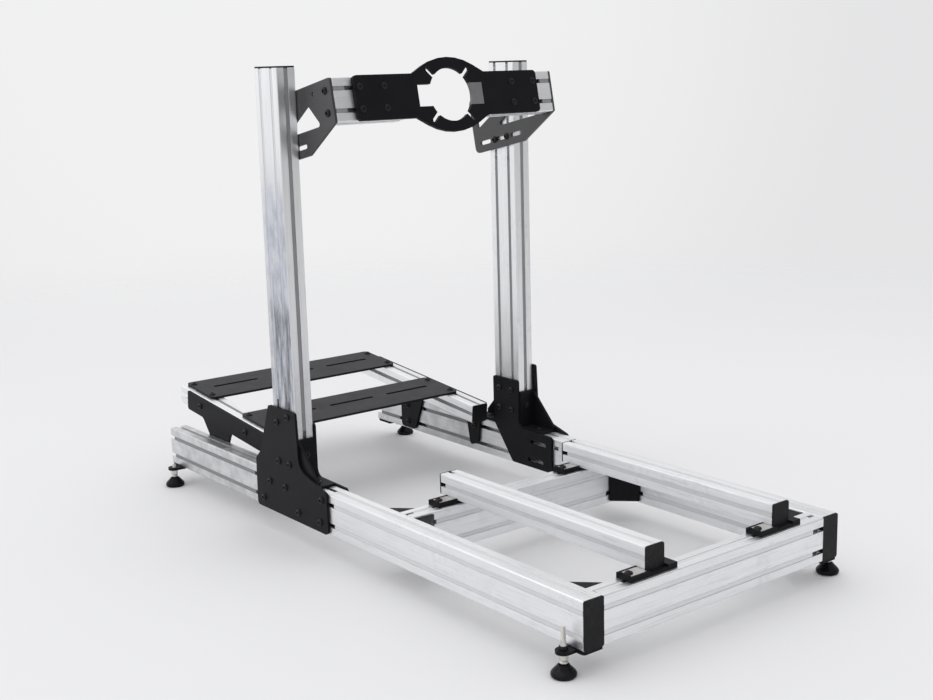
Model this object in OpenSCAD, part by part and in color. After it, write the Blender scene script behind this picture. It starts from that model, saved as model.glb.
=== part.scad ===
// Sim racing cockpit: an open frame of bolted aluminium profiles with black plates.
// X is across the frame, Y points forward to the pedals, Z is up, in millimetres.
// The origin is on the floor, under the middle of the overall length and width.
// Sizes along Y are first counted from the middle of the side rails, the frame's centre.

/* [Base frame] */
// Outside width over the two side rails
frame_w = 600; // [500:10:760]
// Length of the side rails
rail_l = 1350; // [1200:10:1700]
// Height of the rails' undersides over the floor
rail_z = 42.5; // [38:0.5:60]
// Middle crossmember's centre, forward of the frame's centre
middle_y = -173; // [-240:1:-120]

/* [Profile] */
// Width of one slot pitch, the side of the square profile
pitch = 40; // [40:1:50]
// Radius along the profile's outer edges
edge_r = 2.5; // [1:0.5:4]
// Mouth of the slots
slot_w = 8.2; // [6:0.1:10]
// Thickness of the lips beside a slot
lip_t = 4.5; // [3:0.5:6]
// Width of a slot behind its lips
tee_w = 20; // [16:0.5:22]
// Depth of a slot from the outer face
slot_depth = 12.3; // [10:0.1:14]
// Core bore in the profile's ends
core_d = 6.8; // [5:0.1:8]
// Thickness of the end caps
cap_t = 3; // [2:0.5:6]
// How far a slot cover stops short of the profile's end
cover_gap = 16; // [6:1:40]

/* [Uprights] */
// Height of the uprights' caps over the floor
upright_top = 906; // [760:2:1100]
// Upright's centre, forward of the frame's centre
upright_y = 169; // [60:1:240]

/* [Wheel deck] */
// Tilt of the wheel deck, rear edge up
wheel_tilt = 11.3; // [0:0.1:25]
// How far the wheel plate stands behind the uprights' centre
wheel_reach = 153; // [140:1:200]
// Height of the wheel beams' upper rear edge over the floor
wheel_z = 884; // [740:1:980]
// Length of the wheel brackets along their slope
bracket_l = 263; // [240:1:300]
// Depth of the wheel brackets across their slope
bracket_d = 123; // [110:1:150]
// Gap between the two wheel beams
beam_gap = 208; // [160:2:240]
// Width of the wheel mount plate
mount_w = 430; // [360:2:470]
// Height of the wheel mount plate
mount_h = 82; // [80:1:100]
// Thickness of the wheel mount plate
mount_t = 8; // [6:0.5:12]
// How far the diagonal slots reach from the motor's axis
slot_reach = 70.5; // [66:0.5:74]
// Radius of the motor hole
motor_r = 50; // [40:1:54]

/* [Pedal deck] */
// Tilt of the pedal deck, front edge up
pedal_tilt = 5.8; // [0:0.1:15]
// Deck's reference point, forward of the frame's centre
deck_y = 500; // [450:2:560]
// Height of the pedal rails' tops at that point
deck_z = 189; // [180:1:220]
// Pedal rails' reach ahead of that point
deck_front = 200; // [160:2:260]
// Pedal rails' reach behind that point
deck_rear = 269; // [262:1:275]
// How far the pedal plates stop short of the pedal rails' outer faces
pedal_plate_in = 10; // [4:1:16]
// Depth of a pedal plate along the deck
pedal_plate_d = 122; // [100:2:150]
// Front pedal plate's centre, ahead of the reference point
front_plate_at = 134; // [100:2:140]
// Rear pedal plate's centre, behind the reference point
rear_plate_at = 115; // [90:2:140]

/* [Seat rails] */
// Distance between the seat rails' centres
seat_spacing = 301; // [260:1:330]
// Middle of the seat rails, to the right of the frame's middle
seat_shift = 15.5; // [-20:0.5:20]
// Rear end of the seat rails, behind the frame's centre
seat_rear = 659; // [640:1:670]
// Length of the seat rails
seat_l = 525; // [480:5:560]
// Thickness of the brackets under the seat rails
seat_bracket_t = 5; // [4:0.5:8]

/* [Plates and feet] */
// Thickness of the steel plates
plate_t = 5; // [3:0.5:6]
// Clear diameter of the bolt holes
bolt_d = 8.6; // [8.4:0.1:9.5]
// Diameter of the levelling studs
stud_d = 8; // [8:0.5:12]
// Stud's centre, outboard of the rail's face
stud_out = 15.2; // [14:0.2:24]
// Rear studs' centres from the rails' ends
stud_rear = 30; // [26:1:45]
// Front studs' centres from the rails' ends
stud_front = 36; // [26:1:45]
// How far the rear studs stand over their foot plates
stud_rear_up = 38; // [20:1:60]
// How far the front studs stand over their foot plates
stud_front_up = 7; // [5:1:16]
// Radius of the foot pads
pad_r = 20.5; // [18:0.5:30]
// Height of the foot pads
pad_h = 20; // [16:0.5:26]

/* [Hidden] */
$fn = 64;
double = 2 * pitch;
rail_top = rail_z + double;
rail_x = frame_w / 2 - pitch / 2;
inner_x = frame_w / 2 - pitch;
rail_front = rail_l / 2;
upright_l = upright_top - cap_t - rail_top;
deck_x = inner_x - plate_t - pitch / 2;
stud_x = frame_w / 2 + stud_out;
wheel_y = upright_y - wheel_reach;
beam_l = inner_x - plate_t - beam_gap / 2;
seat_z = rail_top + seat_bracket_t;
function seat_x(side) = seat_shift + side * seat_spacing / 2;
// How deep a stud sits in its pad
stud_sunk = 6;
gusset_leg = pitch + 3;
// Legs of the angle brackets, up the upright and along the rail
angle_up = 82;
angle_back = 72;
// Reach of the upright plates behind the uprights' centre, and their heights over the rails
plate_rear = 149;
outer_up = 137;
inner_up = 108;
// Radius of the ring's crown, where the mount plate's edges meet over the motor
crown_r = 122;
// Notches beside the ring, over both of them, and the filler's clearance at the end of its notch
notch_w = 152;
notch_h = pitch + 1;
filler_gap = 0.4;
// Length of a pedal plate, and its three slots: solid ends, solid bars between, length and spacing
pedal_plate_w = 2 * (inner_x - plate_t - pedal_plate_in);
pedal_slot_end = 39.5;
pedal_slot_gap = 36;
pedal_slot_pitch = (pedal_plate_w - 2 * pedal_slot_end + pedal_slot_gap) / 3;
pedal_slot = pedal_slot_pitch - pedal_slot_gap;
pedal_slot_ahead = 6;
// Bolts of the plates, on the slots of rails and uprights
low_slot = rail_z + pitch / 2;
high_slot = rail_z + 1.5 * pitch;
outer_bolts = concat(
    [for (y = [-123, -45, 87]) [upright_y + y, low_slot]],
    [[upright_y - 131, high_slot + 5], [upright_y + 1, high_slot], [upright_y + 59, high_slot]],
    [for (s = [-1, 1], z = [30, 116 - 8 * s]) [upright_y + s * pitch / 2, rail_top + z]]);
inner_bolts = [for (s = [-1, 1], z = [40, 84]) [upright_y + s * pitch / 2, rail_top + z]];
arm_bolts = [[deck_y + 39, low_slot], [deck_y + 39, high_slot], [deck_y - 218, high_slot],
    deck_point(100, -pitch / 2), deck_point(-100, -pitch / 2)];
// Lengths of a seat bracket's tray and foot beside the rail, and its screw's place in the tray
seat_tray = 42;
seat_foot = 20;
seat_screw = 31;
// Slot covers: clearance in the mouth, depth below the face, thickness
cover_fit = 0.3;
cover_sink = 0.6;
cover_strip = lip_t - 0.6;
// How far the pedal rails reach past the side rails' front ends
overhang = deck_point(deck_front, -pitch)[0] - rail_front;
// Sides and ends: -1 is left or rear, 1 is right or front
SIDES = [-1, 1];

// Finishes
module aluminium() { color([0.80, 0.81, 0.82]) children(); }
module black_steel() { color([0.13, 0.13, 0.14]) children(); }
module black_plastic() { color([0.09, 0.09, 0.10]) children(); }
module zinc() { color([0.70, 0.70, 0.68]) children(); }
module grey_strip() { color([0.62, 0.63, 0.64]) children(); }

// Corners [x, y, r] rounded off: each becomes an arc of radius r in short steps
function unit(v) = v / norm(v);
function corner_arc(a, b, c, r, steps = 6) =
    let (
        p = [b[0], b[1]],
        u = unit([a[0], a[1]] - p),
        v = unit([c[0], c[1]] - p),
        half = acos(u * v) / 2,
        centre = p + unit(u + v) * (r / sin(half)),
        start = p + u * (r / tan(half)) - centre,
        turn = (180 - 2 * half) * sign(u[0] * v[1] - u[1] * v[0])
    )
    [for (i = [0:steps])
        let (t = -turn * i / steps)
        centre + [start[0] * cos(t) - start[1] * sin(t), start[0] * sin(t) + start[1] * cos(t)]];
function rounded(pts) =
    let (n = len(pts))
    [for (i = [0:n - 1])
        each (pts[i][2] == 0
            ? [[pts[i][0], pts[i][1]]]
            : corner_arc(pts[(i + n - 1) % n], pts[i], pts[(i + 1) % n], pts[i][2]))];

// Slot cut from the face at y = 0 down into the profile
module slot_cut() {
    straight = lip_t + 2;
    floor_w = tee_w - 2 * (slot_depth - straight);
    translate([-slot_w / 2, -lip_t - 1]) square([slot_w, lip_t + 2]);
    polygon([[-tee_w / 2, -lip_t], [tee_w / 2, -lip_t], [tee_w / 2, -straight],
        [floor_w / 2, -slot_depth], [-floor_w / 2, -slot_depth], [-tee_w / 2, -straight]]);
}

// Section of a profile, nx by ny pitches, centred on the origin
module section(nx, ny) {
    w = nx * pitch;
    h = ny * pitch;
    difference() {
        polygon(rounded([[-w / 2, -h / 2, edge_r], [w / 2, -h / 2, edge_r],
            [w / 2, h / 2, edge_r], [-w / 2, h / 2, edge_r]]));
        for (i = [0:nx - 1]) {
            x = (i - (nx - 1) / 2) * pitch;
            translate([x, h / 2]) slot_cut();
            translate([x, -h / 2]) rotate(180) slot_cut();
            for (j = [0:ny - 1])
                translate([x, (j - (ny - 1) / 2) * pitch]) circle(d = core_d);
        }
        for (j = [0:ny - 1]) {
            y = (j - (ny - 1) / 2) * pitch;
            translate([w / 2, y]) rotate(-90) slot_cut();
            translate([-w / 2, y]) rotate(90) slot_cut();
        }
        // Hollow chamber between the two cores of the double profile
        if (ny == 2) chamber();
    }
}
module chamber() {
    wide = pitch - 2 * lip_t - 4;
    narrow = pitch - 2 * slot_depth;
    polygon([[-wide / 2, 0], [-narrow / 2, -7], [narrow / 2, -7],
        [wide / 2, 0], [narrow / 2, 7], [-narrow / 2, 7]]);
}

// Directions for a length that is extruded along +Z
module along_y(y0) { translate([0, y0, 0]) rotate([-90, 0, 0]) children(); }
module along_x(x0) { translate([x0, 0, 0]) rotate([0, 90, 0]) children(); }

module double_profile(l) { linear_extrude(l) section(1, 2); }
module single_profile(l) { linear_extrude(l) section(1, 1); }

// A plate outlined in the Y-Z plane, on the side's inner or outer face at x
module side_plate(side, x, t) {
    translate([side * x + (side < 0 ? 0 : -t), 0, 0])
        rotate([90, 0, 90]) linear_extrude(t) children();
}

// Base frame
module side_rail(side) {
    aluminium() translate([side * rail_x, 0, rail_z + pitch])
        along_y(cap_t - rail_front) double_profile(rail_l - cap_t);
}
module crossmember(y) {
    aluminium() translate([0, y, rail_z + pitch]) along_x(-inner_x)
        rotate(90) linear_extrude(2 * inner_x) section(1, 2);
}
module seat_rail(side) {
    aluminium() translate([seat_x(side), 0, seat_z + pitch / 2])
        along_y(cap_t - seat_rear) single_profile(seat_l - 2 * cap_t);
}
module upright(side) {
    aluminium() translate([side * rail_x, upright_y, rail_top]) double_profile(upright_l);
}

// Plates that join rail and upright, outlined in world Y and Z
module bolt_holes(spots) { for (s = spots) translate(s) circle(d = bolt_d); }
module outer_outline() {
    rear = upright_y - plate_rear;
    back = upright_y - pitch - 8;
    difference() {
        polygon(rounded([[rear, rail_z, 10], [upright_y + 114, rail_z, 9],
            [upright_y + 111, rail_top + 18, 5], [upright_y + 91, rail_top + 36, 14],
            [upright_y + 51, rail_top + outer_up, 8], [back, rail_top + outer_up, 5],
            [back - 5.5, rail_top + 28, 30], [rear, rail_top + 1, 7]]));
        bolt_holes(outer_bolts);
    }
}
module inner_outline() {
    rear = upright_y - plate_rear;
    back = upright_y - pitch - 2;
    front = upright_y + pitch + 1;
    difference() {
        polygon(rounded([[rear, rail_z + 3.5, 8], [upright_y - 21, rail_z + 3.5, 8],
            [front, rail_top + 5, 8], [front, rail_top + inner_up, 6], [back, rail_top + inner_up, 6],
            [back, rail_top + 4, 16], [rear, rail_top + 2, 7]]));
        bolt_holes(inner_bolts);
        translate([upright_y - 105, rail_z + 1.5 * pitch]) round_slot(42, bolt_d);
        translate([upright_y - 97, rail_z + 0.5 * pitch]) round_slot(42, bolt_d);
    }
}
module outer_plate(side) {
    black_steel() side_plate(side, frame_w / 2 + plate_t, plate_t) outer_outline();
}
module inner_plate(side) {
    black_steel() side_plate(side, inner_x, plate_t) inner_outline();
}

// Angle bracket behind or ahead of an upright: foot on the rail, flange on the upright and one
// web, on the outer side
module upright_bracket(side, end) {
    wall = 5;
    toe = 12;
    wide = pitch - 1;
    bolt_y = -angle_back * 0.6;
    bolt_z = angle_up * 0.62;
    black_steel() translate([side * rail_x - wide / 2, upright_y, rail_top])
        mirror([0, end > 0 ? 1 : 0, 0]) translate([0, -pitch, 0]) difference() {
            rotate([90, 0, 90]) linear_extrude(wide) polygon([[0, 0], [-angle_back, 0],
                [-angle_back, toe], [-wall, angle_up], [0, angle_up]]);
            translate([side < 0 ? wall : -1, -angle_back - 1, wall])
                cube([wide - wall + 1, angle_back + 1 - wall, angle_up]);
            translate([wide / 2, bolt_y, -1]) cylinder(d = bolt_d, h = wall + 2);
            translate([wide / 2, 1, bolt_z]) rotate([90, 0, 0]) cylinder(d = bolt_d, h = wall + 2);
        }
}

// Corner gusset between a crossmember's face and a side rail's inner face
module gusset(side, y, dir) {
    leg = gusset_leg;
    toe = 4;
    black_steel() translate([side * inner_x, y, rail_z + toe]) linear_extrude(double - 2 * toe)
        polygon([[0, 0], [-side * leg, 0], [-side * leg, dir * toe],
            [-side * toe, dir * leg], [0, dir * leg]]);
}

module middle_gussets(side) { for (e = SIDES) gusset(side, middle_y + e * pitch / 2, e); }

// Pedal deck, in its own tilted frame: y along the deck, z = 0 on the rails' tops
module deck_frame() { translate([0, deck_y, deck_z]) rotate([pedal_tilt, 0, 0]) children(); }
function deck_point(y, z) = [
    deck_y + y * cos(pedal_tilt) - z * sin(pedal_tilt),
    deck_z + y * sin(pedal_tilt) + z * cos(pedal_tilt)
];
module pedal_rail(side) {
    aluminium() deck_frame() translate([side * deck_x, 0, -pitch / 2])
        along_y(cap_t - deck_rear) single_profile(deck_rear + deck_front - cap_t);
}
module pedal_arm(side) {
    band = pitch + 3;
    front = deck_front - 40;
    leg_z = rail_z + 5;
    function with_r(p, r) = [p[0], p[1], r];
    black_steel() side_plate(side, inner_x, plate_t) difference() {
        polygon(rounded([
            with_r(deck_point(front, -1), 2), with_r(deck_point(front, -band), 6),
            with_r(deck_point(front - 71, -band), 14), [deck_y + 66, rail_top, 5],
            [deck_y + 66, leg_z, 8], [deck_y + 12, leg_z, 8], [deck_y - 20, rail_top, 5],
            with_r(deck_point(-35, -band), 12), with_r(deck_point(-194, -band), 6),
            [deck_y - 203, leg_z + 6, 7], [deck_y - 231, leg_z + 16, 7],
            [deck_y - 238, rail_top - 12, 5], with_r(deck_point(8 - deck_rear, -pitch / 2), 8),
            with_r(deck_point(8 - deck_rear, -1), 2)]));
        bolt_holes(arm_bolts);
    }
}
// Slot with round ends, from centre to centre along X
module round_slot(reach, d) {
    square([reach, d], center = true);
    for (s = SIDES) translate([s * reach / 2, 0]) circle(d = d);
}
module pedal_plate(at) {
    w = pedal_plate_w / 2;
    d = pedal_plate_d / 2;
    black_steel() deck_frame() translate([0, at, 0]) linear_extrude(plate_t) difference() {
        polygon(rounded([[-w, -d, 10], [w, -d, 10], [w, d, 10], [-w, d, 10]]));
        for (x = [-1:1]) translate([x * pedal_slot_pitch, pedal_slot_ahead])
            round_slot(pedal_slot - bolt_d, bolt_d);
        for (s = SIDES, e = SIDES) translate([s * deck_x, e * (d - 18)]) circle(d = bolt_d);
    }
}

// Wheel deck, in its own tilted frame: y = 0 and z = 0 on the beams' upper rear edge
module wheel_frame() { translate([0, wheel_y, wheel_z]) rotate([-wheel_tilt, 0, 0]) children(); }
module wheel_beam(side) {
    aluminium() wheel_frame() translate([0, pitch / 2, -pitch])
        along_x(side < 0 ? plate_t - inner_x : beam_gap / 2)
            rotate(90) linear_extrude(beam_l) section(1, 2);
}
module wheel_bracket(side) {
    low = -bracket_d;
    row = low + 19;
    mid = bracket_l - 88;
    black_steel() wheel_frame() side_plate(side, inner_x, plate_t) difference() {
        polygon(rounded([[0, 0, 4], [0, -double, 4], [101, low, 8], [bracket_l, low, 12],
            [bracket_l, -12, 12], [bracket_l - 24, 0, 12]]));
        polygon(rounded([[47, -78, 5], [84, -34, 5], [186, -78, 4]]));
        polygon(rounded([[bracket_l - 18, -73, 4], [bracket_l - 18, -34, 6], [152, -34, 3]]));
        for (s = SIDES) translate([mid + s * 51, row]) round_slot(27, bolt_d);
        translate([mid, row]) round_slot(pitch, bolt_d);
        bolt_holes([[pitch / 2, -pitch / 2], [pitch / 2, -1.5 * pitch], [61, -18]]);
        for (s = SIDES) translate([upright_cut(-17) + s * pitch / 2, -17]) circle(d = bolt_d);
    }
}
// Where the upright's centre line crosses a level z of the wheel frame
function upright_cut(z) = (wheel_reach - z * sin(wheel_tilt)) / cos(wheel_tilt);

module mount_outline() {
    top = mount_h / 2;
    w = mount_w / 2;
    peak = top + 84 * tan(29);
    near = motor_r - 4;
    far = slot_reach - bolt_d / 2;
    difference() {
        polygon(rounded([[-w, -top, 8], [-84, -top, 4], [0, -peak, crown_r], [84, -top, 4],
            [w, -top, 8], [w, top, 8], [84, top, 4], [0, peak, crown_r], [-84, top, 4], [-w, top, 8]]));
        circle(r = motor_r, $fn = 96);
        square([notch_w, notch_h], center = true);
        for (a = [45:90:315]) rotate(a) translate([(near + far) / 2, 0]) round_slot(far - near, bolt_d);
        for (s = SIDES, x = [150, 203], z = SIDES)
            translate([s * x, z * pitch / 2]) circle(d = bolt_d);
    }
}
module wheel_mount_plate() {
    black_steel() wheel_frame() translate([0, 0, -pitch])
        rotate([90, 0, 0]) linear_extrude(mount_t) mount_outline();
}
// Grey filler that closes the right notch, flush with the plate, from the motor hole outward
module notch_filler() {
    grey_strip() wheel_frame() translate([0, 0, -pitch]) rotate([90, 0, 0]) linear_extrude(mount_t)
        difference() {
            translate([0, -notch_h / 2]) square([notch_w / 2 - filler_gap, notch_h]);
            circle(r = motor_r, $fn = 96);
        }
}

// Seat bracket: a thin base under the rail, with a long tray on its left and a short foot on its right
module seat_bracket(side, y) {
    deep = pitch - 8;
    rim = 3;
    high = seat_bracket_t + 4;
    left = -pitch / 2 - seat_tray;
    black_steel() translate([seat_x(side), y + 3, rail_top]) difference() {
        union() {
            translate([left, -deep / 2, 0]) cube([pitch + seat_tray + seat_foot, deep, seat_bracket_t]);
            translate([left, -deep / 2, 0]) cube([seat_tray - 0.4, deep, high]);
            translate([left, rim - deep / 2, 0]) cube([rim, deep - 3 * rim, high + 2]);
            translate([pitch / 2 + 0.4, -deep / 2, 0]) cube([seat_foot - 0.4, deep, high]);
        }
        translate([left + rim, rim - deep / 2, seat_bracket_t]) cube([seat_tray, deep - 2 * rim, high]);
        translate([-pitch / 2 - seat_screw, -3, -1]) cylinder(d = bolt_d, h = seat_bracket_t + 2);
    }
}

// Feet
function stud_y(end) = end * rail_front - (end < 0 ? -stud_rear : stud_front);
module foot_plate(side, end) {
    boss = stud_d / 2 + 9;
    mid = abs(stud_y(end));
    black_steel() translate([0, 0, rail_z - plate_t]) linear_extrude(plate_t)
        mirror([side < 0 ? 1 : 0, 0]) mirror([0, end < 0 ? 1 : 0]) difference() {
            union() {
                polygon(rounded([[inner_x + 1, mid - boss, 3], [frame_w / 2 + 1, mid - boss, 0],
                    [frame_w / 2 + 1, rail_front - 1, 6], [inner_x + 1, rail_front - 1, 3]]));
                translate([frame_w / 2, mid - boss]) square([stud_out, 2 * boss]);
                translate([stud_x, mid]) circle(r = boss);
            }
            translate([stud_x, mid]) circle(d = stud_d);
        }
}
module foot_plates() { for (s = SIDES, e = SIDES) foot_plate(s, e); }
// Levelling stud: a hexagon under the plate and, at the rear, a lock nut and a tapered collar above it
module foot_stud(end) {
    plate_top = rail_z - pad_h + stud_sunk;
    hexagon = stud_d * 1.7;
    nut_h = 6.5;
    collar_h = 10;
    cylinder(d = stud_d, h = plate_top + 2);
    translate([0, 0, stud_sunk]) cylinder(d = hexagon, h = rail_z - plate_t - pad_h, $fn = 6);
    if (end < 0) {
        translate([0, 0, plate_top]) cylinder(d = hexagon, h = nut_h, $fn = 6);
        translate([0, 0, plate_top + nut_h]) cylinder(d1 = stud_d + 3, d2 = stud_d - 1, h = collar_h);
        translate([0, 0, plate_top]) cylinder(d = stud_d - 1.5, h = stud_rear_up);
    } else {
        cylinder(d = stud_d, h = plate_top + stud_front_up);
    }
}
module foot_studs() {
    zinc() for (s = SIDES, e = SIDES)
        translate([s * stud_x, stud_y(e), pad_h - stud_sunk]) foot_stud(e);
}
module foot_pad(side, end) {
    neck = pad_r * 0.4;
    rise = 4;
    black_plastic() translate([side * stud_x, stud_y(end), 0]) rotate_extrude() difference() {
        polygon(concat([[0, 0], [pad_r - 1.5, 0], [pad_r, 1.5]],
            [for (a = [0:9:90])
                [neck + (pad_r - neck) * pow(cos(a), 2.5), rise + (pad_h - rise) * sin(a)]],
            [[0, pad_h]]));
        translate([0, pad_h - stud_sunk]) square([stud_d / 2, stud_sunk + 1]);
    }
}

// End caps, on the uprights' tops, both ends of the seat rails and the other profiles' rear ends
module cap(nx, ny) {
    w = nx * pitch / 2;
    h = ny * pitch / 2;
    linear_extrude(cap_t)
        polygon(rounded([[-w, -h, 4], [w, -h, 4], [w, h, 4], [-w, h, 4]]));
}
module end_caps() {
    black_plastic() for (s = SIDES) {
        translate([s * rail_x, 0, rail_z + pitch]) along_y(-rail_front) cap(1, 2);
        for (y = [-seat_rear, seat_l - seat_rear - cap_t])
            translate([seat_x(s), 0, seat_z + pitch / 2]) along_y(y) cap(1, 1);
        translate([s * rail_x, upright_y, rail_top + upright_l]) cap(1, 2);
        deck_frame() translate([s * deck_x, 0, -pitch / 2]) along_y(-deck_rear) cap(1, 1);
    }
}

// Slot covers: strips that close the slots' mouths, each from a to b along its profile
module strip(half, offset, turn, a, b) {
    w = slot_w - 2 * cover_fit;
    rotate(turn) translate([offset - w / 2, half - cover_sink - cover_strip, a])
        cube([w, cover_strip, b - a]);
}
module wide_strips(turn, a, b) { for (s = SIDES) strip(pitch / 2, s * pitch / 2, turn, a, b); }
module narrow_strip(turn, a, b) { strip(pitch, 0, turn, a, b); }
module small_strip(turn, a, b) { strip(pitch / 2, 0, turn, a, b); }

module side_rail_covers(side) {
    rear = cap_t + 1 - rail_front;
    front = rail_front - cover_gap;
    corner = gusset_leg + 8;
    translate([side * rail_x, 0, rail_z + pitch]) along_y(0) {
        wide_strips(-90 * side, rear, upright_y - plate_rear - cover_gap);
        wide_strips(-90 * side, upright_y + 114 + cover_gap, front);
        wide_strips(90 * side, corner + pitch - rail_front, middle_y - pitch / 2 - corner);
        wide_strips(90 * side, middle_y + pitch / 2 + corner, upright_y - plate_rear - cover_gap);
        wide_strips(90 * side, deck_y - 194, deck_y - 28);
        wide_strips(90 * side, deck_y + 66 + cover_gap, front);
        narrow_strip(180, rear, upright_y - pitch - angle_back - 2 * cover_gap);
        narrow_strip(180, upright_y + pitch + angle_back + cover_gap, front);
    }
}
module crossmember_covers(y, left_end, right_end) {
    corner = gusset_leg + 8;
    left = pitch / 2 + seat_tray + 6;
    right = pitch / 2 + seat_foot + 6;
    translate([0, y, rail_z + pitch]) along_x(0) rotate(90) {
        wide_strips(90, left_end - inner_x, inner_x - right_end);
        wide_strips(-90, corner - inner_x, inner_x - corner);
        narrow_strip(0, min(left_end, cover_gap) - inner_x, seat_x(-1) - left);
        narrow_strip(0, seat_x(-1) + right, seat_x(1) - left);
        narrow_strip(0, seat_x(1) + right, inner_x - cover_gap);
    }
}
module seat_rail_covers(side) {
    translate([seat_x(side), 0, seat_z + pitch / 2]) along_y(0)
        for (turn = [180, 90, -90])
            small_strip(turn, cap_t + 1 - seat_rear, seat_l - seat_rear - cover_gap);
}
module upright_covers(side) {
    top = upright_l - 1;
    under_bracket = wheel_z - (wheel_reach + pitch) * tan(wheel_tilt) - bracket_d / cos(wheel_tilt)
        - rail_top - cover_gap;
    translate([side * rail_x, upright_y, rail_top]) {
        wide_strips(-90 * side, outer_up + cover_gap, top);
        wide_strips(90 * side, inner_up + cover_gap, under_bracket);
        for (turn = [0, 180]) narrow_strip(turn, angle_up + cover_gap, top);
    }
}
module wheel_beam_covers(side) {
    outer = inner_x - plate_t - 1;
    wheel_frame() translate([0, pitch / 2, -pitch]) mirror([side < 0 ? 1 : 0, 0, 0])
        along_x(0) rotate(90) {
            wide_strips(90, mount_w / 2 + cover_gap, outer);
            wide_strips(-90, beam_gap / 2 + 1, outer);
            narrow_strip(0, beam_gap / 2 + 1, outer);
            narrow_strip(180, beam_gap / 2 + 1, outer);
        }
}
module pedal_rail_covers(side) {
    half = pedal_plate_d / 2 + 8;
    deck_frame() translate([side * deck_x, 0, -pitch / 2]) along_y(0) {
        small_strip(180, half - rear_plate_at, front_plate_at - half);
        small_strip(180, cap_t + 1 - deck_rear, -rear_plate_at - half);
        small_strip(90 * side, cap_t + 1 - deck_rear, deck_front - cover_gap);
    }
}
module slot_covers() {
    grey_strip() {
        for (s = SIDES) {
            side_rail_covers(s);
            seat_rail_covers(s);
            upright_covers(s);
            wheel_beam_covers(s);
            pedal_rail_covers(s);
        }
        crossmember_covers(pitch / 2 - rail_front, 1, cover_gap + 11);
        crossmember_covers(middle_y, gusset_leg + 8, gusset_leg + 8);
    }
}

// Puts the middle of the overall length over the origin
module centred() { translate([0, -overhang / 2, 0]) children(); }

centred() side_rail(-1);  // left_side_rail
centred() side_rail(1);  // right_side_rail
centred() crossmember(pitch / 2 - rail_front);  // rear_crossmember
centred() crossmember(middle_y);  // middle_crossmember
centred() seat_rail(-1);  // left_seat_rail
centred() seat_rail(1);  // right_seat_rail
centred() upright(-1);  // left_upright
centred() upright(1);  // right_upright
centred() wheel_beam(-1);  // left_wheel_beam
centred() wheel_beam(1);  // right_wheel_beam
centred() pedal_rail(-1);  // left_pedal_rail
centred() pedal_rail(1);  // right_pedal_rail
centred() outer_plate(-1);  // left_outer_plate
centred() outer_plate(1);  // right_outer_plate
centred() inner_plate(-1);  // left_inner_plate
centred() inner_plate(1);  // right_inner_plate
centred() upright_bracket(-1, -1);  // left_upright_bracket
centred() upright_bracket(1, -1);  // right_upright_bracket
centred() upright_bracket(-1, 1);  // left_front_bracket
centred() upright_bracket(1, 1);  // right_front_bracket
centred() pedal_arm(-1);  // left_pedal_arm
centred() pedal_arm(1);  // right_pedal_arm
centred() pedal_plate(front_plate_at);  // front_pedal_plate
centred() pedal_plate(-rear_plate_at);  // rear_pedal_plate
centred() wheel_bracket(-1);  // left_wheel_bracket
centred() wheel_bracket(1);  // right_wheel_bracket
centred() wheel_mount_plate();
centred() notch_filler();
centred() gusset(-1, pitch - rail_front, 1);  // rear_left_gusset
centred() gusset(1, pitch - rail_front, 1);  // rear_right_gusset
centred() middle_gussets(-1);  // middle_left_gussets
centred() middle_gussets(1);  // middle_right_gussets
centred() seat_bracket(-1, pitch / 2 - rail_front);  // rear_left_seat_bracket
centred() seat_bracket(1, pitch / 2 - rail_front);  // rear_right_seat_bracket
centred() seat_bracket(-1, middle_y);  // front_left_seat_bracket
centred() seat_bracket(1, middle_y);  // front_right_seat_bracket
centred() foot_plates();
centred() foot_studs();
centred() foot_pad(-1, -1);  // rear_left_foot_pad
centred() foot_pad(1, -1);  // rear_right_foot_pad
centred() foot_pad(-1, 1);  // front_left_foot_pad
centred() foot_pad(1, 1);  // front_right_foot_pad
centred() end_caps();
centred() slot_covers();
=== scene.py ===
# %% [markdown]
# A sim racing cockpit is an open frame of aluminium T-slot profiles, joined by black powder-coated
# plates. The CAD model holds every profile, plate and bracket at its real size. This script gives
# them their finishes, and adds the hardware that is too fine for the CAD: screws, clamping plates,
# studs and moulded foot pads. The frame is loaded once and stays fixed, so places are metres in the
# frame's own axes: X across, Y forward to the pedals, Z up from the floor. The shapes of small parts
# are given in millimetres, and become metres where they are placed.

# %% Load the fixed frame
import math
import bpy
import numpy as np
from mathutils import Matrix, Vector


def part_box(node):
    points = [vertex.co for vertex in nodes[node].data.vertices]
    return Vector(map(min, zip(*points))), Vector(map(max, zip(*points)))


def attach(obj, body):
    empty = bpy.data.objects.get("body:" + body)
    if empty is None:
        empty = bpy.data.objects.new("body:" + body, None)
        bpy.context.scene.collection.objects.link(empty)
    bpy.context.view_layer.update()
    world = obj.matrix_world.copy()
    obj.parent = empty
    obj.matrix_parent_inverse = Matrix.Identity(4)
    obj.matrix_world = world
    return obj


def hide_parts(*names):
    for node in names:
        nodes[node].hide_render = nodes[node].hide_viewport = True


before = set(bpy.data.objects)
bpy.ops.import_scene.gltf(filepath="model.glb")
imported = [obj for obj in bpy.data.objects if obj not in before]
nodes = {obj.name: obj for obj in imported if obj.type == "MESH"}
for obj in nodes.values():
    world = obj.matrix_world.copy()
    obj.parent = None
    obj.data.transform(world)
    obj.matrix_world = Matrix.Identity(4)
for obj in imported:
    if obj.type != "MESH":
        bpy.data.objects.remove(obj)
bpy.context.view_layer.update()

MM = 0.001
SIDES = (-1, 1)

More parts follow.
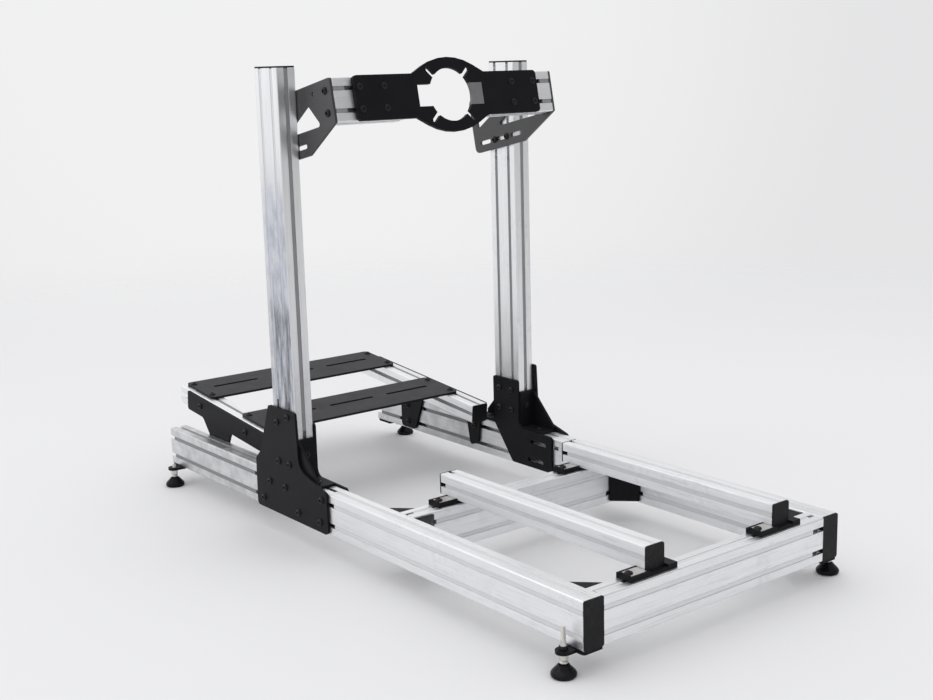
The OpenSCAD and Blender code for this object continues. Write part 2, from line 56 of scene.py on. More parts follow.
# %% [markdown]
# The camera stands where the photographer stood, behind the seat end and to the left, a little
# over the height of the uprights. It could be aimed with a Track To constraint, but a frame with
# long straight edges shows an error of a tenth of a degree, so its three axes are worked out from
# a yaw, a pitch and a roll. The lens is the focal length in pixels over the picture's width,
# times the sensor's width.

# %% Camera
yaw, pitch, roll = (math.radians(a) for a in (37.901, 11.802, -1.539))
camera_at = (-1.5732, -2.0595, 0.8944)
focal_px, picture_px, sensor_mm = 1351.6, 933, 36
ahead = Vector((math.sin(yaw) * math.cos(pitch), math.cos(yaw) * math.cos(pitch), -math.sin(pitch)))
level = Vector((math.cos(yaw), -math.sin(yaw), 0))
plumb = level.cross(ahead)
right = level * math.cos(roll) + plumb * math.sin(roll)
up = plumb * math.cos(roll) - level * math.sin(roll)

camera_data = bpy.data.cameras.new("camera")
camera_data.sensor_fit = "HORIZONTAL"
camera_data.sensor_width = sensor_mm
camera_data.lens = sensor_mm * focal_px / picture_px
camera = bpy.data.objects.new("camera", camera_data)
camera.matrix_world = Matrix.Translation(camera_at) @ Matrix((right, up, -ahead)).transposed().to_4x4()
bpy.context.scene.collection.objects.link(camera)
bpy.context.scene.camera = camera
print("lens", round(camera_data.lens, 2), "mm")

# %% [markdown]
# Screws sit on plates that lean with the wheel deck and the pedal deck. Both decks are tilted
# about the X axis only, so one small function turns a place along and above a deck into a place in
# the frame. The alternative, parenting to tilted empties, would hide the place in a transform,
# and here every mesh keeps its place in its own points. Other places are read from the CAD nodes'
# boxes. A side rail is one end cap shorter than the frame, so the frame's middle is half a cap behind
# the rail's.

# %% Places on the two tilted decks
def deck(y, z, tilt):
    """A function from (across, along, above) to the frame: along and above are turned by the tilt
    about X, positive with the front edge up, and then moved to the deck's reference line."""
    c, s = math.cos(math.radians(tilt)), math.sin(math.radians(tilt))
    def place(across, along, above):
        """A point of the deck as a point of the frame."""
        return (across, y + along * c - above * s, z + along * s + above * c)
    place.along, place.normal = (0, c, s), (0, -s, c)
    return place

def middle(name):
    """The middle of a CAD node's box."""
    low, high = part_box(name)
    return (low + high) / 2

cell = 40 * MM
cap_t = 3 * MM
plate_t = 5 * MM
rail_low, rail_high = (corner.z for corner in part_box("left_side_rail"))
rail_in, rail_out = (corner.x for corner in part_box("right_side_rail"))
rail_x = middle("right_side_rail").x
upright_y = middle("left_upright").y
frame_y = middle("left_side_rail").y - cap_t / 2
wheel_deck = deck(upright_y - 153 * MM, 884 * MM, -11.3)
pedal_deck = deck(frame_y + 500 * MM, 189 * MM, 5.8)
print("frame's middle at", round(frame_y, 4), "uprights at", round(upright_y, 4),
      "rails from", round(rail_low, 4), "to", round(rail_high, 4))

# %% [markdown]
# Turned parts such as screw heads, nuts and studs are surfaces of two parameters: the row of a
# profile, and the angle round the axis. Blender's Screw modifier or a lathe made of cylinders
# could give them too. A numpy grid is chosen because the radius may then also depend on the
# angle, which turns a circle into a hexagon or a cylinder into a thread with no boolean.

# %% A grid of radii becomes a mesh
def turned(radius, height, closed=False):
    """Points (r cos a, r sin a, z), with one ring for each row of radius and one direction for each
    column. A ring of radius 0 is a single pole. With closed, the last ring joins the first."""
    radius, height = np.broadcast_arrays(radius, height)
    rows, sides = radius.shape
    angle = np.arange(sides) * 2 * np.pi / sides
    points = np.stack([radius * np.cos(angle), radius * np.sin(angle), height], -1).reshape(-1, 3)
    index = np.arange(rows * sides).reshape(rows, sides)
    pole = radius.max(1) == 0
    index[pole] = index[pole, :1]
    below = np.roll(index, -1, 0) if closed else index[1:]
    above = index if closed else index[:-1]
    quads = np.stack([above, below, np.roll(below, -1, 1), np.roll(above, -1, 1)], -1).reshape(-1, 4)
    return points, quads

def hexagon(sides):
    """Radius of a hexagon with corners at radius 1: cos 30 over the cosine of the angle from the
    middle of the nearest flat."""
    angle = np.arange(sides) * 2 * np.pi / sides
    return math.cos(math.pi / 6) / np.cos((angle % (math.pi / 3)) - math.pi / 6)

def rings(rows, sides=36, closed=False):
    """Rows of (radius, height, share): share 0 is a circle, 1 a hexagon, and between is a blend."""
    r, z, share = np.array(rows, float).T[..., None]
    return turned(r * (1 - share + share * hexagon(sides)), z, closed)

print("a hexagon's flats lie at", round(float(hexagon(36).min()), 3), "of its corners' radius")

# %% [markdown]
# A frame like this has some eighty screws of two kinds. They could be eighty objects sharing one
# mesh, but a model that others take apart is simpler with one object for each kind of screw. So
# each shape is copied as an array: its points are turned so that their Z axis follows the
# outward direction, given a spin about that axis, moved, and all copies are joined.

# %% Copies of a shape joined into one piece
chance = np.random.default_rng(7)

def copies(shape, spots):
    """The shape's points times a rotation for each spot, plus the spot. The rotation's third row is
    the outward direction, and its first two are spun about it by a seeded chance."""
    points, quads = shape
    parts = []
    for n, (at, out) in enumerate(spots):
        out = np.array(out, float) / np.linalg.norm(out)
        side = np.cross(out, (0.36, 0.48, 0.8))
        side /= np.linalg.norm(side)
        spin = chance.uniform(0, 2 * np.pi)
        first = side * np.cos(spin) + np.cross(out, side) * np.sin(spin)
        turn = np.stack([first, np.cross(out, first), out])
        parts.append((points * MM @ turn + np.array(at), quads + n * len(points)))
    return np.concatenate([p for p, _ in parts]), np.concatenate([q for _, q in parts])

def joined(*shapes):
    """Several shapes as one: the later ones' faces count on from the earlier ones' points."""
    offset = np.cumsum([0] + [len(points) for points, _ in shapes])
    return (np.concatenate([points for points, _ in shapes]),
            np.concatenate([quads + n for (_, quads), n in zip(shapes, offset)]))

print("copies and joined work on points in arrays")

# %% [markdown]
# A piece is a mesh object that rides on the frame's one body. Its points already hold its place, so the
# object itself stays at the origin. Flat shading would show every face, and a Subdivision Surface
# would round the hexagons, so faces are smooth and only edges past a set angle stay sharp.

# %% From points and faces to a piece
def piece(name, shape, material, crease=32):
    """A mesh object at the origin from points and quads. A quad at a pole names one point twice
    and becomes a triangle. Edges sharper than crease degrees stay sharp."""
    points, quads = shape
    faces = [list(dict.fromkeys(q)) for q in quads.tolist()]
    used = np.unique(quads)
    renumber = np.zeros(len(points), int)
    renumber[used] = np.arange(len(used))
    mesh = bpy.data.meshes.new(name)
    mesh.from_pydata(points[used].tolist(), [],
                     [[int(renumber[v]) for v in face] for face in faces if len(face) > 2])
    mesh.shade_smooth()
    mesh.set_sharp_from_angle(angle=math.radians(crease))
    mesh.materials.append(material)
    obj = bpy.data.objects.new(name, mesh)
    bpy.context.scene.collection.objects.link(obj)
    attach(obj, "root")
    print(name, len(mesh.polygons), "faces")
    return obj

print("one object for each kind of hardware")

# %% [markdown]
# Materials are built from nodes in code. They could be drawn by hand in the node editor, but code can
# be read and changed in one place. One helper adds a node, sets its properties and either plugs or sets
# its inputs, so that a tree reads from top to bottom as a recipe.

# %% Helpers for shader nodes
def add(tree, kind, inputs=None, **settings):
    """Adds a shader node. inputs maps a socket's name or number to a value or another socket."""
    made = tree.nodes.new("ShaderNode" + kind)
    for key, value in settings.items():
        setattr(made, key, value)
    for key, value in (inputs or {}).items():
        if isinstance(value, bpy.types.NodeSocket):
            tree.links.new(value, made.inputs[key])
        else:
            made.inputs[key].default_value = value
    return made

def maths(tree, operation, a, b=0.0, clamp=False):
    """One Math node's result."""
    return add(tree, "Math", {0: a, 1: b}, operation=operation, use_clamp=clamp).outputs[0]

def spread(tree, value, low, high, to_low=0.0, to_high=1.0):
    """A smooth step from one range to another."""
    return add(tree, "MapRange", {"Value": value, "From Min": low, "From Max": high, "To Min": to_low,
                                  "To Max": to_high}, interpolation_type="SMOOTHSTEP").outputs[0]

def blend(tree, share, first, second):
    """A colour between two, by a share from 0 to 1."""
    return add(tree, "Mix", {0: share, 6: first, 7: second}, data_type="RGBA").outputs[2]

def grey(tone, blue=0.0):
    """A grey with a little more blue."""
    return (tone, tone, tone + blue, 1)

def noise(tree, place, scale, detail=2.0, rough=0.5):
    """A noise texture's value, with scale in waves to a metre."""
    return add(tree, "TexNoise", {"Vector": place, "Scale": scale, "Detail": detail,
                                  "Roughness": rough}).outputs["Fac"]

print("shader helpers ready")

# %% [markdown]
# Edge wear, die lines or dust are needed by many materials. Each material could have its own nodes for
# them, but a shader group is built once, has named inputs and outputs, and is placed in each
# material with that material's values.

# %% Helpers for shader groups
def group(name, inputs, outputs):
    """An empty node group with its input and output nodes. inputs maps a name to a kind and a value."""
    tree = bpy.data.node_groups.new(name, "ShaderNodeTree")
    for key, (kind, value) in inputs.items():
        socket = tree.interface.new_socket(key, in_out="INPUT", socket_type="NodeSocket" + kind)
        socket.default_value = value
    for key, kind in outputs.items():
        tree.interface.new_socket(key, in_out="OUTPUT", socket_type="NodeSocket" + kind)
    return tree, tree.nodes.new("NodeGroupInput").outputs, tree.nodes.new("NodeGroupOutput").inputs

def use(tree, built, **inputs):
    """Places a group in a tree and returns its outputs."""
    made = tree.nodes.new("ShaderNodeGroup")
    made.node_tree = built
    for key, value in inputs.items():
        if isinstance(value, bpy.types.NodeSocket):
            tree.links.new(value, made.inputs[key])
        else:
            made.inputs[key].default_value = value
    return made.outputs

print("group helpers ready")

# %% [markdown]
# An extruded profile is pushed hot through a steel die, and the die leaves faint lines along its
# whole length. A brushed texture could be painted, but noise that is squeezed along one direction
# gives the same look at any size. The group takes that direction, so one group serves rails, uprights
# and leaning beams: it removes almost all of the position along the profile, and the noise
# that is left changes fast across it and hardly at all along it.

# %% Die lines
die_lines, given, result = group(
    "die_lines", {"Position": ("Vector", (0, 0, 0)), "Along": ("Vector", (0, 1, 0))},
    {"Fine": "Float", "Broad": "Float", "Streaks": "Float"})
run = add(die_lines, "VectorMath", {0: given["Position"], 1: given["Along"]},
          operation="DOT_PRODUCT").outputs["Value"]
def squeezed(keep):
    """The position with only a share of its part along the profile kept."""
    lost = maths(die_lines, "MULTIPLY", run, 1 - keep)
    back = add(die_lines, "VectorMath", {0: given["Along"], "Scale": lost}, operation="SCALE").outputs[0]
    return add(die_lines, "VectorMath", {0: given["Position"], 1: back}, operation="SUBTRACT").outputs[0]

streaks = noise(die_lines, squeezed(0.03), 420, 2)
die_lines.links.new(noise(die_lines, squeezed(0.006), 1500, 4, 0.7), result["Fine"])
die_lines.links.new(noise(die_lines, squeezed(0.02), 130, 3, 0.55), result["Broad"])
die_lines.links.new(spread(die_lines, streaks, 0.56, 0.7), result["Streaks"])
print("group", die_lines.name)

# %% [markdown]
# Bare aluminium that has been handled and stored shows cloudy patches, where hands and moisture
# left a thin bluish grey film, and short scuffs. The clouds are two scales of noise multiplied, so that
# patches come in families with clean metal between them, and the scuffs lie in the same families.

# %% Handling marks
handling, given, result = group(
    "handling", {"Position": ("Vector", (0, 0, 0)), "Size": ("Float", 1.0)},
    {"Cloud": "Float", "Scuffs": "Float"})
sized = add(handling, "VectorMath", {0: given["Position"], "Scale": given["Size"]},
            operation="SCALE").outputs[0]
patches = spread(handling, noise(handling, sized, 11, 2), 0.45, 0.68)
mottle = spread(handling, noise(handling, sized, 75, 5, 0.65), 0.38, 0.66)
handling.links.new(maths(handling, "MULTIPLY", patches, mottle), result["Cloud"])
scratch_place = add(handling, "Mapping", {"Vector": sized, "Scale": (1, 0.25, 0.6)}).outputs[0]
scratches = spread(handling, noise(handling, scratch_place, 420, 3, 0.6), 0.66, 0.74)
handling.links.new(maths(handling, "MULTIPLY", scratches, patches), result["Scuffs"])
print("group", handling.name)

# %% [markdown]
# The end of a profile is sawn, and a circular saw leaves shallow arcs across the cut. A cut face is
# the one whose normal follows the profile, so the group compares the two directions. The arcs are
# rings round a point far outside the section, which is where the saw's spindle was.

# %% Sawn ends
sawn_ends, given, result = group(
    "sawn_ends", {"Position": ("Vector", (0, 0, 0)), "Along": ("Vector", (0, 1, 0))},
    {"Mask": "Float", "Arcs": "Float"})
spindle, arcs_per_metre = (0.21, 0.17, 0.13), 5200
facing = add(sawn_ends, "NewGeometry").outputs["Normal"]
agreement = add(sawn_ends, "VectorMath", {0: facing, 1: given["Along"]},
                operation="DOT_PRODUCT").outputs["Value"]
sawn_ends.links.new(spread(sawn_ends, maths(sawn_ends, "ABSOLUTE", agreement), 0.93, 0.98), result["Mask"])
reach = add(sawn_ends, "VectorMath", {0: given["Position"], 1: spindle}, operation="DISTANCE")
swept = maths(sawn_ends, "SINE", maths(sawn_ends, "MULTIPLY", reach.outputs["Value"], arcs_per_metre))
ripple = noise(sawn_ends, given["Position"], 600, 2)
sawn_ends.links.new(maths(sawn_ends, "MULTIPLY", maths(sawn_ends, "ADD", swept, 1), ripple), result["Arcs"])
print("group", sawn_ends.name)

# %% [markdown]
# No real edge is perfectly sharp: a rounded one catches a thin line of light, and on coated steel it
# is also where the coat wears first. Rounding thousands of edges would swell the meshes, so the
# Bevel node bends the normal near an edge instead. Where that bent normal leaves the true one, there is
# an edge, and that difference, broken up with noise, is the mask of the wear.

# %% Soft and worn edges
edges, given, result = group(
    "edges", {"Position": ("Vector", (0, 0, 0)), "Radius": ("Float", 0.6 * MM)},
    {"Normal": "Vector", "Worn": "Float"})
soft = add(edges, "Bevel", {"Radius": given["Radius"]}, samples=4).outputs["Normal"]
edges.links.new(soft, result["Normal"])
facing = add(edges, "NewGeometry").outputs["Normal"]
agreement = add(edges, "VectorMath", {0: soft, 1: facing}, operation="DOT_PRODUCT").outputs["Value"]
rim = spread(edges, agreement, 0.995, 0.88)
chips = spread(edges, noise(edges, given["Position"], 160, 4, 0.7), 0.5, 0.68)
edges.links.new(maths(edges, "MULTIPLY", rim, chips), result["Worn"])
print("group", edges.name)

# %% [markdown] Powder coat's grain, settled dust and painted sheen
# Powder coat is sprayed as dry plastic dust and baked until it flows. It keeps a fine orange peel of
# about a millimetre, and matt black shows dust and faint hand marks. The peel is a soft noise used
# as height, and the dust is a film with specks that lies only on faces that look up. Where that pale
# film is made strong, as on the pedal plates, it is partly painted sheen of light glancing off the tops.

# %% Powder coat's grain and settled dust
peel, given, result = group(
    "peel", {"Position": ("Vector", (0, 0, 0))}, {"Height": "Float", "Patchy": "Float"})
waves = noise(peel, given["Position"], 950, 2)
pimples = add(peel, "TexVoronoi", {"Vector": given["Position"], "Scale": 1300}).outputs["Distance"]
peel.links.new(maths(peel, "ADD", waves, maths(peel, "MULTIPLY", pimples, 0.35)), result["Height"])
peel.links.new(noise(peel, given["Position"], 22, 4, 0.6), result["Patchy"])

dust, given, result = group("dust", {"Position": ("Vector", (0, 0, 0))}, {"Mask": "Float"})
lean = add(dust, "SeparateXYZ", {0: add(dust, "NewGeometry").outputs["Normal"]}).outputs["Z"]
upward_dust_and_sheen = spread(dust, lean, 0.35, 0.95)
film = spread(dust, noise(dust, given["Position"], 35, 5, 0.7), 0.3, 0.75, 0.25, 1)
specks = spread(dust, noise(dust, given["Position"], 1900, 1), 0.62, 0.72, 0, 0.6)
dust.links.new(maths(dust, "MULTIPLY", upward_dust_and_sheen, maths(dust, "ADD", film, specks, True)), result["Mask"])
print("groups", peel.name, dust.name)

# %% [markdown]
# Each material starts the same way: a Principled shader and the object's own coordinates in metres,
# which stay put on a piece that never moves.

# %% The start of a material
def start(name):
    """A new material with its tree, its Principled shader and its Object coordinates."""
    material = bpy.data.materials.new(name)
    material.use_nodes = True
    tree = material.node_tree
    return material, tree, tree.nodes["Principled BSDF"], add(tree, "TexCoord").outputs["Object"]

def finish(tree, shader, color, roughness, normal):
    """Plugs what changes over the surface into the shader."""
    tree.links.new(color, shader.inputs["Base Color"])
    tree.links.new(roughness, shader.inputs["Roughness"])
    tree.links.new(normal, shader.inputs["Normal"])

def bumped(tree, height, depth, normal):
    """A Bump node over a soft edge normal. depth is in metres."""
    return add(tree, "Bump", {"Height": height, "Distance": depth, "Strength": 1.0,
                              "Normal": normal}).outputs[0]

print("every material starts from a Principled shader")

# %% [markdown]
# Years of use leave their own marks. Hands have left a bluish film on the left upright's outer face,
# which is also made darker in a band lower down, and shoes have dulled the rails' pedal end. Such marks
# could be painted as a mask, but smooth steps along the height or the length, broken up by stretched
# noise, need no image. Each function takes a colour and gives it back marked.

# %% Marks of use
def axis(tree, vector, name):
    """One of a vector's three numbers."""
    return add(tree, "SeparateXYZ", {0: vector}).outputs[name]

def stretched(tree, place, scale, squash, least):
    """Noise that is drawn out along Z, as a share from least to 1."""
    tall = add(tree, "Mapping", {"Vector": place, "Scale": (1, 1, squash)}).outputs[0]
    return spread(tree, noise(tree, tall, scale, 4, 0.6), 0.36, 0.66, least, 1)

def hand_film_and_low_dark_band(tree, place, color):
    """A bluish film, and below it a darker band, between given heights on faces that look to -X, towards
    their rear edge.
    """
    height = axis(tree, place, "Z")
    outward = spread(tree, axis(tree, add(tree, "NewGeometry").outputs["Normal"], "X"), -0.4, -0.9)
    rearward = spread(tree, axis(tree, place, "Y"), upright_y + 0.038, upright_y + 0.010, 0.5, 1)
    zone = maths(tree, "MULTIPLY", outward, rearward)
    bluish_film = (0.12, 0.20, 0.60, 0.76), (70, 0.35, 0.45), (0.47, 0.505, 0.58, 1)
    # The second band only darkens the face lower down, from 0.20 to 0.50 m high.
    low_dark_band = (0.20, 0.28, 0.42, 0.50), (85, 0.14, 0.15), (0.15, 0.155, 0.17, 1)
    for (begins, full, fades, ends), pattern, tint in (bluish_film, low_dark_band):
        band = maths(tree, "MULTIPLY", spread(tree, height, begins, full), spread(tree, height, ends, fades))
        cloud = stretched(tree, place, *pattern)
        share = maths(tree, "MULTIPLY", maths(tree, "MULTIPLY", band, zone), cloud)
        color = blend(tree, share, color, tint)
    return color

def shoe_marks(tree, place, color):
    """A duller tone that grows towards the pedals."""
    near = spread(tree, axis(tree, place, "Y"), 0.12, 0.32)
    cloud = spread(tree, noise(tree, place, 30, 4, 0.6), 0.3, 0.7, 0.35, 0.7)
    return blend(tree, maths(tree, "MULTIPLY", near, cloud), color, grey(0.42, 0.01))

print("hand marks over heights of 0.12 to 0.76 m, shoe marks ahead of the uprights")

# %% [markdown]
# Mill finish aluminium is a pale metal with a soft gloss. A plain metallic shader would look like a
# mirror of the studio, so colour and roughness both change with the die lines, the handling marks
# dull the metal and turn it bluish grey, and sawn ends are brighter and rougher. One function makes it
# for each direction that profiles run in.

# %% Mill finish aluminium
def aluminium(name, along, marked=None, satin=0.30, film=0.14):
    """Aluminium extruded along a direction. marked adds marks of use, satin is the least roughness and
    film is how strongly handling shows."""
    material, tree, shader, place = start(name)
    lines = use(tree, die_lines, Position=place, Along=along)
    marks = use(tree, handling, Position=place)
    ends = use(tree, sawn_ends, Position=place, Along=along)
    edge = use(tree, edges, Position=place, Radius=1.6 * MM)
    pale = blend(tree, lines["Broad"], (0.80, 0.81, 0.825, 1), (0.97, 0.972, 0.98, 1))
    pale = blend(tree, maths(tree, "MULTIPLY", lines["Streaks"], 0.35), pale, (0.62, 0.63, 0.65, 1))
    dull = blend(tree, maths(tree, "MULTIPLY", marks["Cloud"], film), pale, (0.40, 0.43, 0.50, 1))
    if marked:
        dull = marked(tree, place, dull)
    color = blend(tree, maths(tree, "MULTIPLY", marks["Scuffs"], 0.2), dull, grey(0.95, 0.01))
    color = blend(tree, ends["Mask"], color, (0.9, 0.905, 0.91, 1))
    rough = maths(tree, "ADD", maths(tree, "MULTIPLY", lines["Fine"], 0.16),
                  maths(tree, "MULTIPLY", marks["Cloud"], 0.2))
    rough = maths(tree, "ADD", rough, satin)
    rough = maths(tree, "ADD", rough, maths(tree, "MULTIPLY", ends["Mask"], 0.12))
    height = maths(tree, "ADD", maths(tree, "MULTIPLY", lines["Fine"], 0.6),
                   maths(tree, "MULTIPLY", maths(tree, "MULTIPLY", ends["Arcs"], ends["Mask"]), 0.8))
    shader.inputs["Metallic"].default_value = 1.0
    finish(tree, shader, color, rough, bumped(tree, height, 0.02 * MM, edge["Normal"]))
    return material

metal_y = aluminium("aluminium_seat_rails", (0, 1, 0), satin=0.62, film=0.05)
metal_rail = aluminium("aluminium_side_rails", (0, 1, 0), shoe_marks)
metal_x = aluminium("aluminium_crosswise", (1, 0, 0))
metal_z = aluminium("aluminium_upright", (0, 0, 1))
metal_left = aluminium("aluminium_left_upright", (0, 0, 1), hand_film_and_low_dark_band)
metal_deck = aluminium("aluminium_pedal_rails", pedal_deck.along)
print("aluminium in four directions, two of them marked")

# %% [markdown]
# The plates are laser-cut steel with black powder coat. Black is never one black: the coat's peel breaks
# up the gloss, hands leave duller patches, dust greys what faces up, and on a few edges the steel
# shows. The pedal plates get a much stronger pale film on their tops: some dust, and painted sheen of
# the light that glances off them. The wheel deck's side brackets have a glossier coat than the rest.

# %% Black powder-coated steel
def powder_coat(name, dust_and_sheen, gloss):
    """Black coat. dust_and_sheen is how strongly the pale film on upward faces shows, as dust and, where
    strong, painted sheen; gloss is the specular level.
    """
    material, tree, shader, place = start(name)
    grain = use(tree, peel, Position=place)
    edge = use(tree, edges, Position=place, Radius=0.7 * MM)
    upward_dust_and_sheen = use(tree, dust, Position=place)["Mask"]
    color = blend(tree, grain["Patchy"], grey(0.0045, 0.0015), grey(0.009, 0.002))
    # Upward faces turn paler grey: dust, and with the pedal plates' stronger share also painted sheen.
    color = blend(tree, maths(tree, "MULTIPLY", upward_dust_and_sheen, dust_and_sheen), color, grey(0.13, 0.005))
    color = blend(tree, maths(tree, "MULTIPLY", edge["Worn"], 0.2), color, grey(0.12, 0.005))
    rough = maths(tree, "ADD", maths(tree, "MULTIPLY", grain["Patchy"], 0.18), 0.36)
    rough = maths(tree, "ADD", rough, maths(tree, "MULTIPLY", upward_dust_and_sheen, 0.15))
    shader.inputs["Specular IOR Level"].default_value = gloss
    finish(tree, shader, color, rough, bumped(tree, grain["Height"], 0.05 * MM, edge["Normal"]))
    return material

black_coat = powder_coat("black_powder_coat", 0.05, gloss=0.1)
# The pedal plates' strong pale film is dust and painted sheen of light glancing off their tops.
deck_coat = powder_coat("black_powder_coat_pedals", 0.33, gloss=0.16)
wheel_coat = powder_coat("black_powder_coat_brackets", 0.05, gloss=1.0)
print(black_coat.name, deck_coat.name, wheel_coat.name)

# %% [markdown]
# The end caps are moulded black nylon: duller than paint, with the fine spark texture of the mould. The
# foot pads are a smoother, glossier black. The piece that fills the wheel plate's right notch is a mid
# grey that is painted shade: it stands in for the shaded surface seen behind the notch. All three come
# from one function, with tone, gloss and grain as its inputs.

# %% Moulded caps and pads, and the notch filler's painted shade
def moulded(name, dark, light, rough_low, grain_scale, depth, gloss=0.5):
    """Plastic between two tones. depth is the height of its spark texture in metres."""
    material, tree, shader, place = start(name)
    edge = use(tree, edges, Position=place, Radius=0.5 * MM)
    marks = use(tree, handling, Position=place, Size=2.0)
    tone = noise(tree, place, 30, 4, 0.6)
    color = blend(tree, tone, dark, light)
    color = blend(tree, maths(tree, "MULTIPLY", marks["Cloud"], 0.06), color, grey(0.22, 0.01))
    rough = maths(tree, "ADD", maths(tree, "MULTIPLY", tone, 0.16), rough_low)
    spark = noise(tree, place, grain_scale, 3, 0.7)
    shader.inputs["Specular IOR Level"].default_value = gloss
    finish(tree, shader, color, rough, bumped(tree, spark, depth, edge["Normal"]))
    return material

black_nylon = moulded("black_nylon", grey(0.008, 0.001), grey(0.014, 0.001), 0.42, 2400, 0.04 * MM, 0.13)
foot_plastic = moulded("black_foot_plastic", grey(0.004, 0.001), grey(0.009, 0.001), 0.18, 1500,
                       0.01 * MM, 0.1)
# The notch filler's mid grey is painted shade of the surface seen behind the notch.
notch_shade_grey = moulded("notch_filler_painted_shade", grey(0.10, 0.005), grey(0.16, 0.005), 0.38, 900, 0.02 * MM)
print(black_nylon.name, foot_plastic.name, notch_shade_grey.name)

# %% [markdown]
# The strips in the slots are extruded grey plastic. On the base behind the uprights they are almost as
# pale as the metal, and on the uprights, the wheel deck and the pedal end they are a darker grey, so the
# tone follows the place. The left upright's outer strips are pale, and share that face's bluish film
# and darker lower band.

# %% Slot strips
def slot_strip(name):
    """Grey plastic, pale or dark by its place in the frame."""
    material, tree, shader, place = start(name)
    edge = use(tree, edges, Position=place, Radius=0.4 * MM)
    raised = spread(tree, axis(tree, place, "Z"), 0.17, 0.20)
    inward = spread(tree, axis(tree, place, "X"), -0.296, -0.290)
    ahead = spread(tree, axis(tree, place, "Y"), 0.20, 0.24)
    dark = maths(tree, "MAXIMUM", maths(tree, "MULTIPLY", raised, inward), ahead)
    tone = noise(tree, place, 30, 4, 0.6)
    color = hand_film_and_low_dark_band(tree, place, blend(tree, tone, (0.60, 0.605, 0.615, 1), (0.71, 0.715, 0.725, 1)))
    color = blend(tree, dark, color, blend(tree, tone, grey(0.17, 0.005), grey(0.25, 0.005)))
    rough = maths(tree, "ADD", maths(tree, "MULTIPLY", tone, 0.16), 0.34)
    grain = noise(tree, place, 800, 3, 0.7)
    finish(tree, shader, color, rough, bumped(tree, grain, 0.02 * MM, edge["Normal"]))
    return material

grey_pvc = slot_strip("grey_slot_strip")
print(grey_pvc.name)

# %% [markdown]
# Screws are steel. The black ones carry a thin oxide, which is nearly as dark as the plates under them,
# and the studs and clamping plates are zinc plated: a warm grey, blotched by the chromate bath.

# %% Screw steel and zinc
def plated(name, dark, light, rough_low, metal):
    """Steel with a thin coat between two tones. metal is 1 where the coat is a metal itself."""
    material, tree, shader, place = start(name)
    bath = noise(tree, place, 180, 4, 0.6)
    fine = noise(tree, place, 2600, 2)
    edge = use(tree, edges, Position=place, Radius=0.25 * MM)
    color = blend(tree, bath, dark, light)
    color = blend(tree, maths(tree, "MULTIPLY", edge["Worn"], 0.12), color, grey(0.45, 0.01))
    rough = maths(tree, "ADD", maths(tree, "MULTIPLY", bath, 0.2), rough_low)
    shader.inputs["Metallic"].default_value = metal
    shader.inputs["Specular IOR Level"].default_value = 0.25
    finish(tree, shader, color, rough, bumped(tree, fine, 0.01 * MM, edge["Normal"]))
    return material

black_oxide = plated("black_oxide", grey(0.004, 0.001), grey(0.012, 0.001), 0.32, 0.0)
bright_zinc = plated("bright_zinc", (0.50, 0.49, 0.46, 1), (0.74, 0.73, 0.70, 1), 0.26, 1.0)
print(black_oxide.name, bright_zinc.name)

# %% [markdown]
# The finished materials go onto the CAD nodes through their material slots. The names say which way a
# profile runs, so a short table is enough.

# %% Finishes of the CAD nodes
finishes = {
    metal_y: ["left_seat_rail", "right_seat_rail"],
    metal_rail: ["left_side_rail", "right_side_rail"],
    metal_x: ["rear_crossmember", "middle_crossmember", "left_wheel_beam", "right_wheel_beam"],
    metal_z: ["right_upright"],
    metal_left: ["left_upright"],
    metal_deck: ["left_pedal_rail", "right_pedal_rail"],
    deck_coat: ["front_pedal_plate", "rear_pedal_plate"],
    wheel_coat: ["left_wheel_bracket", "right_wheel_bracket"],
    notch_shade_grey: ["notch_filler"],
    black_nylon: ["end_caps"],
    grey_pvc: ["slot_covers"],
}
for material, names in finishes.items():
    for name in names:
        for place in nodes[name].material_slots:
            place.material = material
dressed = {name for names in finishes.values() for name in names}
for name in nodes.keys() - dressed:
    for place in nodes[name].material_slots:
        place.material = black_coat
print(len(dressed), "nodes by name,", len(nodes) - len(dressed), "in black coat")

# %% [markdown]
# The main screw is an M8 button head with a hexagon socket. Its profile runs from the middle of the
# socket's floor, up the socket's wall, over the dome and down to the plate. The socket's rows
# are hexagons and the dome's are circles, so the head needs no boolean.

# %% Button head screws
def button_head(radius=7.0, height=4.2, socket=2.9, deep=2.6, rim=0.7):
    """Dome: an arc of an ellipse, radius growing with the sine and height falling with the cosine."""
    swing = np.radians(np.linspace(22, 90, 8))
    fall = (height - rim) / math.cos(swing[0])
    dome = [(radius * math.sin(a), rim + fall * math.cos(a), 0) for a in swing[1:]]
    bottom = height - deep
    return rings([(0, bottom, 0), (socket, bottom, 1), (socket, height - 0.25, 1),
                  (socket * 1.02, height, 0.5), *dome, (radius, 0.1, 0), (radius - 0.3, -0.2, 0),
                  (0, -0.2, 0)])

print("a button head has", len(button_head()[0]), "points")

# %% [markdown]
# The big plates' screws stand in rows, because each one has to meet a slot, and a slot runs in the
# middle of each 40 mm cell of a profile. The rows could be read from the holes of the CAD meshes, but a
# short list of places is easier to compare with the real object.

# %% Screws on the plates
low_row, high_row = rail_low + cell / 2, rail_low + 1.5 * cell
outer_face, inner_face = rail_out + plate_t, rail_in - plate_t
pedal_rail_x = middle("right_pedal_rail").x

def beside(x, facing, spots):
    """Screws on a plate across X: (Y from the uprights' middle, Z) in metres, facing -1 or 1."""
    return [((x, upright_y + y, z), (facing, 0, 0)) for y, z in spots]

